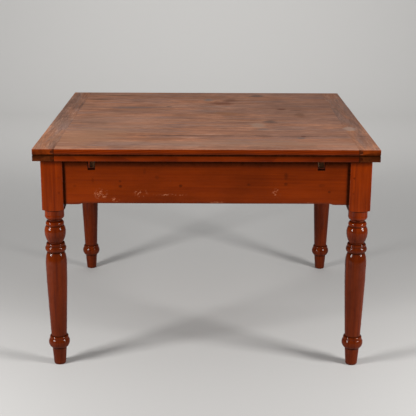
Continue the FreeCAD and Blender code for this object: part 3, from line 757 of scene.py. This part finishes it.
def marks_on(node):
    """The marks that touch a node's box."""
    low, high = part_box(node)
    kept = []
    for (x, y), (wide, deep), colour, strength in TOP_MARKS:
        if low.x - wide < x < high.x + wide and low.y - deep < y < high.y + deep:
            kept.append(((x, y, 0), (wide, deep, 0), colour, strength))
    return kept


def make_top():
    """Four boards and two breadboard ends, dull above and glossy on their edges."""
    last = len(TOP_SEEDS)
    for number, (node, seed) in enumerate(TOP_SEEDS.items(), 1):
        material = wood(
            node + "_wood", "edge", "X", seed, pith=(seed * 0.031 - 0.3, 0.66), tilt=0.03,
            warp=0.016, marks=marks_on(node), worn=WORN_TOP_AND_SHEEN, edge_wear=0.35,
        )
        make_board(node, "top", material, number == 1, number == last, seed)
    for side, seed in (("left", 23.7), ("right", 29.2)):
        node = f"top_end_{side}"
        material = wood(
            node + "_wood", "end", "Y", seed, pith=(seed * 0.01, 0.72), tilt=0.02, warp=0.012,
            marks=marks_on(node), worn=WORN_END_AND_SHEEN, edge_wear=0.6,
        )
        make_breadboard_end(node, "top", material, seed)


def make_leaf(end):
    """A leaf's three boards and two breadboard ends."""
    body = f"{end}_leaf"
    front = end == "front"
    base_seed = 41.3 if front else 63.9
    for number in (1, 2, 3):
        seed = base_seed + number * 4.7
        node = f"{end}_leaf_board_{number}"
        outer, inner = number == 1, number == 3
        front_free, back_free = (outer, inner) if front else (inner, outer)
        material = wood(
            node + "_wood", "low_edge", "X", seed, pith=(seed * 0.017 - 0.5, 0.66), tilt=-0.02,
            warp=0.014, edge_wear=0.3,
        )
        make_board(node, body, material, front_free, back_free, seed)
    for side, shift in (("left", 17.1), ("right", 21.9)):
        node = f"{end}_leaf_end_{side}"
        seed = base_seed + shift
        material = wood(node + "_wood", "low_end", "Y", seed, pith=(seed * 0.01, 0.70), warp=0.012)
        make_breadboard_end(node, body, material, seed)


# Aprons

RELIEF = 4 * MM
RELIEF_START = 50 * MM
RELIEF_RUN = 16 * MM
NOTCH_WIDTH = 25 * MM
NOTCH_DEPTH = 34.5 * MM
STEP = 0.6 * MM  # over which a notch's side falls
NOTCH_MIDDLE = {"front": 380.5 * MM, "back": 352 * MM}
NOTCH_NUDGES = (-2.2 * MM, -STEP / 2, STEP / 2, 2.2 * MM)  # extra rings round a notch's side
SHOULDER_RINGS = (3, 6, 8, 10, 13)  # extra rings beside the legs, in millimetres from them
TENON = {"front": 36 * MM, "back": 36 * MM, "left": 12 * MM, "right": 12 * MM}
KNOT_COLOUR = (0.032, 0.0050, 0.0006)
KNOT_SPREAD = 1.5 * MM


def apron_heights(place, half, low_z, high_z, notch):
    """The lower and upper edge of an apron at a place along it."""
    inside = half - abs(place) - RELIEF_START
    bottom = low_z + RELIEF * smooth_step(inside / RELIEF_RUN)
    top = high_z
    if notch is not None:
        gap = NOTCH_WIDTH / 2 - abs(abs(place) - notch)
        top -= NOTCH_DEPTH * min(max(gap / STEP + 0.5, 0.0), 1.0)
    return bottom, top


APRON_KNOTS = [
    # x, z, half width and half height in millimetres, darkness
    (-0.437, 0.649, 5, 4, 0.35), (-0.377, 0.668, 3, 7, 0.35), (-0.286, 0.665, 4, 4, 0.6),
    (-0.285, 0.648, 6, 5, 0.85), (-0.164, 0.679, 5, 5, 0.35), (-0.205, 0.700, 4, 8, 0.3),
    (0.264, 0.686, 6, 11, 0.6), (0.264, 0.657, 5, 4, 0.6), (0.409, 0.630, 3.5, 3, 0.7),
    (0.382, 0.653, 9, 4, 0.3), (-0.086, 0.650, 4, 4, 0.75), (0.140, 0.655, 5, 3.5, 0.6),
]
APRON_SCUFFS = [((-0.348, 0, 0.622), (0.030, 0, 0.022)), ((-0.304, 0, 0.602), (0.018, 0, 0.009)),
                ((-0.218, 0, 0.624), (0.026, 0, 0.016)), ((-0.120, 0, 0.619), (0.062, 0, 0.004)),
                ((0.232, 0, 0.626), (0.016, 0, 0.018)), ((0.035, 0, 0.593), (0.040, 0, 0.005)),
                ((0.34, 0, 0.592), (0.026, 0, 0.004))]


def make_apron(side, seed):
    """An apron between two legs, with its notches and its eased, slightly cut-away lower edge."""
    node = f"apron_{side}"
    low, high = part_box(node)
    notch = NOTCH_MIDDLE.get(side)
    across = side in ("front", "back")
    half = (high.x if across else high.y) - TENON[side]
    low_z, high_z = low.z, high.z

    def corners_at(place):
        bottom, top = apron_heights(place, half, low_z, high_z, notch)
        if across:
            return rectangle(low.y, bottom, high.y, top)
        return rectangle(-high.x, bottom, -low.x, top)

    extra = [sign * (half - inset * MM) for sign in (-1, 1) for inset in SHOULDER_RINGS]
    if notch is not None:
        extra += [sign * notch + edge + nudge for sign in (-1, 1)
                  for edge in (-NOTCH_WIDTH / 2, NOTCH_WIDTH / 2) for nudge in NOTCH_NUDGES]

    def shade_and_dirt(vertex):
        """Painted shade: beside the legs, under the leaf, round the lower arris, in the notches and
        a little across the middle.
        """
        along = vertex.x if across else vertex.y
        bottom, top = apron_heights(along, half, low_z, high_z, notch)
        in_notch = notch is not None and abs(abs(along) - notch) < NOTCH_WIDTH / 2 + STEP
        # Painted shade: the notch's floor is filled dark.
        if in_notch and vertex.z > top - 1.0 * MM:
            return 1.0
        # Painted shadows of the legs and of the leaf's overhang, painted shade along the lower
        # arris and a broad painted shade across the middle.
        beside = near(half - abs(along), 12, 6)
        under = 0.92 * near(high_z - vertex.z, 36, 25)
        lower = 0.75 * near(vertex.z - bottom, 3.5, 3)
        middle = 0.24 * smooth_step(1.1 - abs(along) / half)
        return max(beside, under, lower, middle)

    grain = "X" if across else "Y"
    part = sweep(grain, -half, half, corners_at, seed, shade_and_dirt, arris=2.0 * MM, extra=sorted(extra),
                 wave=0.30 * MM, nicks=1.6)
    looks = dict(pith=(-0.47 if side == "front" else 0.40, 0.50), tilt=0.003, warp=0.0045)
    if side == "front":
        looks["scuffs"] = APRON_SCUFFS
        looks["marks"] = [
            ((x, 0, z), (wide * KNOT_SPREAD, 0, tall * KNOT_SPREAD), KNOT_COLOUR, 0.8 * dark)
            for x, z, wide, tall, dark in APRON_KNOTS
        ]
    material = wood(node + "_wood", "apron", grain, seed, **looks)
    add_piece(node + "_worn", node, "frame", material, [part])


# Legs

HEAD_BOTTOM = 563 * MM
HEAD_CROWN = 1.2 * MM
HEAD_SPACING = 7 * MM
SHOULDER_RISE = 4 * MM
SHOULDER_STEPS = (0.75, 0.5, 0.28, 0.12, 0.04, 0.0)
OUTER_ARRIS = 5.0 * MM
OTHER_ARRIS = 1.6 * MM
TURNED_SWAY = 0.10 * MM
CORNER_GAPS = (0.35, 0.8, 1.5, 2.4, 3.4, 4.6, 6.2)  # degrees from a head's corner
CORNER_SPAN = 8.5  # degrees each side of a corner before the even spacing starts
TURNED = [
    # radius, height and, before an arc to the next point, its radius with the sign of its swell
    (32.6, 563, 0), (32.6, 543, 13), (23.5, 527.5, 0), (23.5, 523.5, 0), (25, 522.5, 12),
    (29.6, 506.4, 0), (30.2, 505.2, 35.5), (36, 485, 72.5), (27, 449, 0), (26, 448, 0),
    (26, 445.6, 0), (29, 444.8, 8), (31.6, 435.6, 0), (31.8, 434.2, 14), (32.6, 415.2, 0),
    (29.6, 413.8, 0), (29.6, 410.4, 60), (34.4, 394, 160), (36, 358, 0), (35.2, 305, 0),
    (27, 108, 0), (28.6, 107, 9), (32, 97.4, 0), (32.2, 96, 24.8), (28, 63, 0), (25, 60, 0),
    (20.6, 2.4, 0), (18.8, 0, 0),
]
CREASES = [
    # height, half of its width and how dark the painted shade in it is
    (561.3, 2.0, 0.90), (525.5, 2.3, 0.65), (505.8, 1.8, 0.85),
    (447.0, 2.2, 0.50), (434.9, 1.4, 0.75), (412.2, 3.4, 0.92), (107.5, 1.6, 0.60),
    (96.8, 1.2, 0.45), (61.5, 2.6, 0.60), (0.0, 7.0, 0.55),
]


def turning_shade(height):
    """Painted shade on the turning at a height: darker from the ball down, darkest in its creases.
    """
    shade_and_dirt = 0.10 + 0.36 * smooth_step((515 * MM - height) / (60 * MM))
    for middle, half, strength in CREASES:
        away = abs(height - middle * MM) / (half * MM)
        shade_and_dirt = max(shade_and_dirt, strength * smooth_step(1.6 - away))
    return shade_and_dirt


def recess_shade(local_x, local_y, half):
    """Painted shadow on the head's inward faces, beside the aprons. Local x and y grow outwards."""
    shade_and_dirt = 0.0
    for inward, along in ((local_x, local_y), (local_y, local_x)):
        facing = near(inward + half, 1.5, 1)
        shade_and_dirt = max(shade_and_dirt, facing * smooth_step((half - along - 2.5 * MM) / (5 * MM)))
    return shade_and_dirt


def turned_outline():
    """(radius, height) down the turned part of the leg, in metres, with its corners just eased."""
    points = []
    for number in range(len(TURNED) - 1):
        radius, height, swell = TURNED[number]
        start = Vector((radius, height)) * MM
        end = Vector(TURNED[number + 1][:2]) * MM
        chord = end - start
        spacing = 1.1 * MM if swell else min(6 * MM, max(1.5 * MM, chord.length / 9))
        count = max(1, round(chord.length / (spacing * FINE)))
        bow = swell * MM
        half = chord.length / 2
        rise = bow - math.sqrt(bow**2 - half**2) if swell else 0.0
        outward = Vector((-chord.y, chord.x)).normalized()
        for step in range(count):
            share = step / count
            spot = start.lerp(end, share)
            if swell:
                from_middle = (share - 0.5) * chord.length
                spot += outward * (math.sqrt(bow**2 - from_middle**2) - (bow - rise))
            points.append((spot.x, spot.y))
    points.append((TURNED[-1][0] * MM, TURNED[-1][1] * MM))
    return points


def head_angles():
    """Angles round the leg, closer together at the square head's corners."""
    spaced = 18
    angles = set()
    for quarter in range(4):
        corner = 45 + quarter * 90
        angles.add(corner)
        for gap in CORNER_GAPS:
            angles |= {corner - gap, corner + gap}
        for step in range(spaced + 1):
            angles.add(corner + CORNER_SPAN + (90 - 2 * CORNER_SPAN) * step / spaced)
    return sorted(math.radians(angle % 360) for angle in angles)


def square_reach(angle, half, outer_angle, seed, height):
    """Distance from the axis to the rounded square at an angle."""
    corner = round((angle - math.pi / 4) / (math.pi / 2)) * math.pi / 2 + math.pi / 4
    outer = abs((corner - outer_angle + math.pi) % (2 * math.pi) - math.pi) < 0.1
    radius = OUTER_ARRIS if outer else OTHER_ARRIS
    radius *= 1 + 0.35 * flutter(height * 9, seed, corner * 3)
    local = angle - corner
    centre = (half - radius) * math.sqrt(2)
    # Where a ray meets the arc that rounds the corner, if it meets it at all.
    under = radius**2 - (centre * math.sin(local)) ** 2
    flat = half / max(abs(math.cos(angle)), abs(math.sin(angle)))
    if under > 0:
        arc = centre * math.cos(local) + math.sqrt(under)
        touch = math.atan2(half - radius, half)
        if abs(local) < math.pi / 4 - touch:
            dent = max(0, flutter(height * 60, seed * 2.3, corner) - 0.35) * 2.0 * MM
            weight = 1 - abs(local) / (math.pi / 4 - touch)
            return arc - dent * weight, weight
    return flat, 0.0


def head_heights(top):
    """(height, inset) of the square head's rings, from its crown to its shoulder's end."""
    straight = top - HEAD_CROWN
    run = straight - HEAD_BOTTOM - SHOULDER_RISE
    count = round((top - HEAD_BOTTOM) / (HEAD_SPACING * FINE))
    heights = [(top, HEAD_CROWN), (top - HEAD_CROWN * 0.3, HEAD_CROWN * 0.3), (straight, 0)]
    heights += [(straight - run * step / count, 0) for step in range(1, count + 1)]
    return heights + [(HEAD_BOTTOM + SHOULDER_RISE * share, 0) for share in SHOULDER_STEPS]


def head_ring(angles, axis, half, top, seed, height, inset):
    """A ring of the square head, cut back to the turned shoulder near its end."""
    outer_angle = math.atan2(axis.y, axis.x)
    rise = (height - HEAD_BOTTOM) / SHOULDER_RISE
    shoulder = half + half * (math.sqrt(2) - 1) * max(rise, 0) ** 0.75 + 0.2 * MM
    # Painted shadow of the leaf along the head's top, and painted shade under the head.
    head_shade = max(0.5 * near(top - height, 22, 14), 0.8 if height <= HEAD_BOTTOM else 0.0)
    ring = []
    for angle in angles:
        reach, weight = square_reach(angle, half, outer_angle, seed, height)
        if reach > shoulder and rise < 1:
            weight = max(weight, 0.5)
        reach = min(reach, shoulder) - inset
        local_x = reach * math.cos(angle) * math.copysign(1, axis.x)
        local_y = reach * math.sin(angle) * math.copysign(1, axis.y)
        shade_and_dirt = max(recess_shade(local_x, local_y, half), head_shade)
        ring.append((reach, angle, height, weight, shade_and_dirt))
    return ring


def turned_ring(angles, radius, height, floor, seed):
    """A ring of the turned part, very slightly out of round."""
    shade_and_dirt = turning_shade(height)
    ring = []
    for angle in angles:
        sway = TURNED_SWAY * flutter(height * 30, math.cos(angle), math.sin(angle) + seed)
        ring.append((radius + sway - TURNED_SWAY, angle, max(height, floor), 0.0, shade_and_dirt))
    return ring


def make_leg(side, end, seed):
    """A leg: worn square head, turned shoulder, then the turned shaft."""
    node = f"leg_{end}_{side}"
    low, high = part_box(node)
    axis = (low + high) / 2
    half = (high.x - low.x) / 2
    angles = head_angles()
    rings = [head_ring(angles, axis, half, high.z, seed, *place) for place in head_heights(high.z)]
    rings += [turned_ring(angles, *place, low.z, seed) for place in turned_outline()]
    vertices, arris, shade_and_grime = [], [], []
    for ring in rings:
        for reach, angle, height, weight, shade_and_dirt in ring:
            x, y = axis.x + reach * math.cos(angle), axis.y + reach * math.sin(angle)
            vertices.append(Vector((x, y, height)))
            arris.append(weight)
            shade_and_grime.append(shade_and_dirt)
    faces = tube_faces(0, len(rings), len(angles))
    pith = (axis.x + 0.055 * (1 if seed % 2 < 1 else -1), axis.y - 0.07)
    material = wood(node + "_wood", "leg", "Z", seed, pith=pith, tilt=0.006, warp=0.006)
    parts = [(vertices, faces, arris, shade_and_grime)]
    add_piece(node + "_worn", node, "frame", material, parts)


# Pieces that keep their CAD shape get their own material, most of them eased edges too


def ease(thing, width):
    """Rounds a CAD piece's edges a little."""
    weld = thing.modifiers.new("weld", "WELD")
    weld.merge_threshold = 0.01 * MM
    bevel = thing.modifiers.new("eased_edges", "BEVEL")
    bevel.width = width
    bevel.segments = 2
    bevel.limit_method = "ANGLE"
    bevel.angle_limit = math.radians(40)
    bevel.use_clamp_overlap = True


def dress(node, material, width=None):
    """Gives a CAD node its material and, where asked, eased edges."""
    thing = NODES[node]
    if not thing.material_slots:
        thing.data.materials.append(material)
    for slot in thing.material_slots:
        slot.material = material
    if width:
        ease(thing, width)


def dress_cad_nodes():
    """Bearers, rail, centre board, dowels, pegs and screws."""
    # The centre board's darker inner look paints in the shade inside the table.
    dress("centre_board", wood("centre_board_wood", "inner", "X", 83.0, pith=(0.1, 0.66)), 0.8 * MM)
    dress("centre_rail", wood("centre_rail_wood", "bare", "X", 86.0, pith=(0.05, 0.6)), 0.8 * MM)
    for end in ("front", "back"):
        for side, seed in (("left", 91.0), ("right", 95.5)):
            node = f"{end}_bearer_{side}"
            middle = (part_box(node)[0].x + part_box(node)[1].x) / 2
            seed += 3.3 if end == "back" else 0
            look = dict(pith=(middle + 0.03, 0.66), warp=0.012)
            dress(node, wood(node + "_wood", "bare", "Y", seed, **look), 1.0 * MM)
        dowels = wood(f"{end}_dowel_wood", "bare", "X", 99.0, warp=0.01)
        dress(f"{end}_stop_dowels", dowels, 0.5 * MM)
        dress(f"{end}_leaf_screws", dark_steel())
    dress("top_locating_pegs", wood("locator_wood", "bare", "Z", 103.0, warp=0.01), 0.8 * MM)
    dress("centre_board_screws", dark_steel())


PEG_RADIUS = 4 * MM
PEG_PROUD = 0.5 * MM
PEG_SIDES = 14
PEG_PROFILE = (
    # share of the radius, distance out of the leg's face
    (1.0, -8 * MM), (1.0, PEG_PROUD * 0.35), (0.86, PEG_PROUD * 0.8), (0.45, PEG_PROUD),
)


def make_pegs(end):
    """The pegs' dark ends, slightly faceted and just proud of the legs' faces."""
    node = f"tenon_pegs_{end}"
    low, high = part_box(node)
    face, outward = (low.y, -1) if end == "front" else (high.y, 1)
    vertices, faces = [], []
    for x in (low.x + PEG_RADIUS, high.x - PEG_RADIUS):
        for z in (low.z + PEG_RADIUS, high.z - PEG_RADIUS):
            faces += tube_faces(len(vertices), len(PEG_PROFILE), PEG_SIDES)
            generator = random.Random(round(x * 1000) * 7 + round(z * 1000))
            uneven = [1 + generator.uniform(-0.06, 0.06) for _ in range(PEG_SIDES)]
            for share, out in PEG_PROFILE:
                y = face + outward * out
                for step in range(PEG_SIDES):
                    angle = step / PEG_SIDES * 2 * math.pi
                    reach = PEG_RADIUS * share * uneven[step]
                    spot = (x + reach * math.cos(angle), y, z + reach * math.sin(angle))
                    vertices.append(Vector(spot))
    clean = [0.0] * len(vertices)
    material = wood(node + "_wood", "peg", "Y", 107.0, pith=(0.49, 0.65), warp=0.004)
    parts = [(vertices, faces, clean, clean)]
    add_piece(node + "_ends", node, "frame", material, parts)


add_camera()
add_stage()
for lamp, settings in LAMPS.items():
    softbox(lamp, *settings)
make_top()
for leaf_end in ("front", "back"):
    make_leaf(leaf_end)
    make_pegs(leaf_end)
APRON_SEEDS = {"front": 131.0, "back": 137.5, "left": 142.2, "right": 149.7}
for apron_side, apron_seed in APRON_SEEDS.items():
    make_apron(apron_side, apron_seed)
for leg_end in ("front", "back"):
    for leg_side in ("left", "right"):
        leg_seed = {"front": 160.4, "back": 171.9}[leg_end] + {"left": 0.0, "right": 5.3}[leg_side]
        make_leg(leg_side, leg_end, leg_seed)
dress_cad_nodes()
